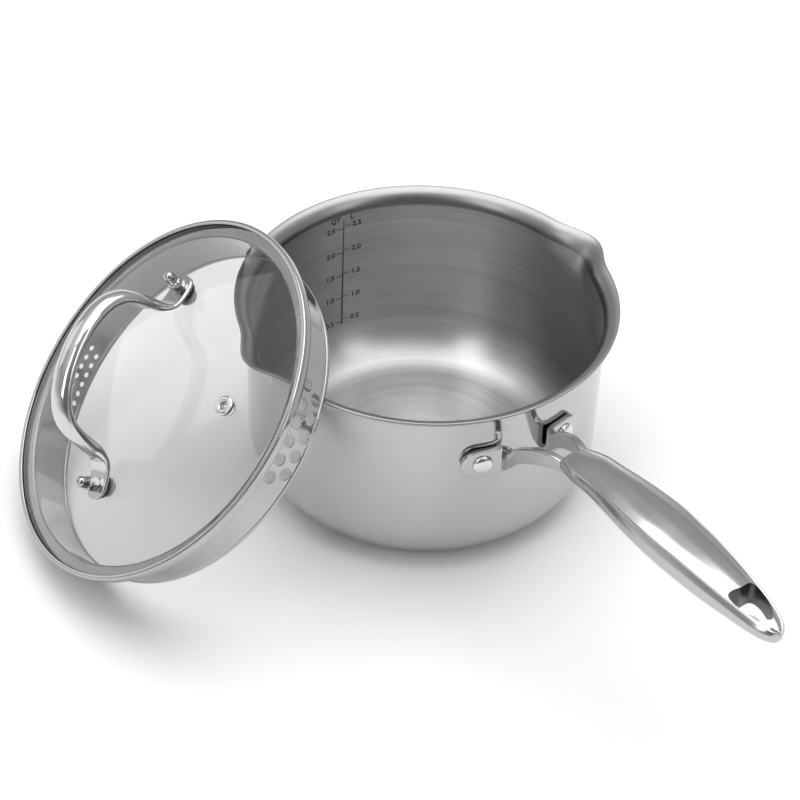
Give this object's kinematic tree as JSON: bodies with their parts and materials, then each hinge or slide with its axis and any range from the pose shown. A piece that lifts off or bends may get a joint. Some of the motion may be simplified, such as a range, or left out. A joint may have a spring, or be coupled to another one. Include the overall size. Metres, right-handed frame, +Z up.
{
  "type": "saucepan with glass lid",
  "caption": "Stainless steel saucepan with pour spouts, a riveted cast handle, and a glass straining lid leaning on its rim.",
  "frame": {"origin": "centre of the pan's underside, on the surface it stands on", "axes": "+Z up out of the pan's mouth, +X along the handle to its tip, the pour spouts face -Y and +Y, and the lid leans beside the -Y spout"},
  "size_m": [0.4237, 0.3336, 0.1569],
  "materials": {
    "brushed_stainless": "stainless steel, polished outside and ring-brushed inside",
    "polished_stainless": "polished stainless steel",
    "bright_fittings": "bright polished stainless fittings",
    "lid_glass": "clear tempered glass, smooth",
    "black_silicone": "black silicone, matte",
    "clear_silicone": "milky clear silicone, satin"
  },
  "bodies": {
    "pan": {"pan_body": "brushed_stainless", "handle": "polished_stainless", "handle_rivet_front": "bright_fittings", "handle_rivet_rear": "bright_fittings"},
    "lid": {"lid_glass": "lid_glass", "lid_band": "polished_stainless", "lid_bail": "polished_stainless", "vent_eyelet": "bright_fittings", "vent_grommet": "black_silicone", "lid_cap_nut_front": "bright_fittings", "lid_bolt_front": "bright_fittings", "lid_washer_front": "black_silicone", "lid_under_washer_front": "clear_silicone", "lid_cap_nut_rear": "bright_fittings", "lid_bolt_rear": "bright_fittings", "lid_washer_rear": "black_silicone", "lid_under_washer_rear": "clear_silicone"}
  },
  "joints": [
    {"name": "lid_lift", "type": "slide", "parent": "pan", "child": "lid", "axis": [0, 0, 1], "range_m": [0, 0.16]}
  ]
}
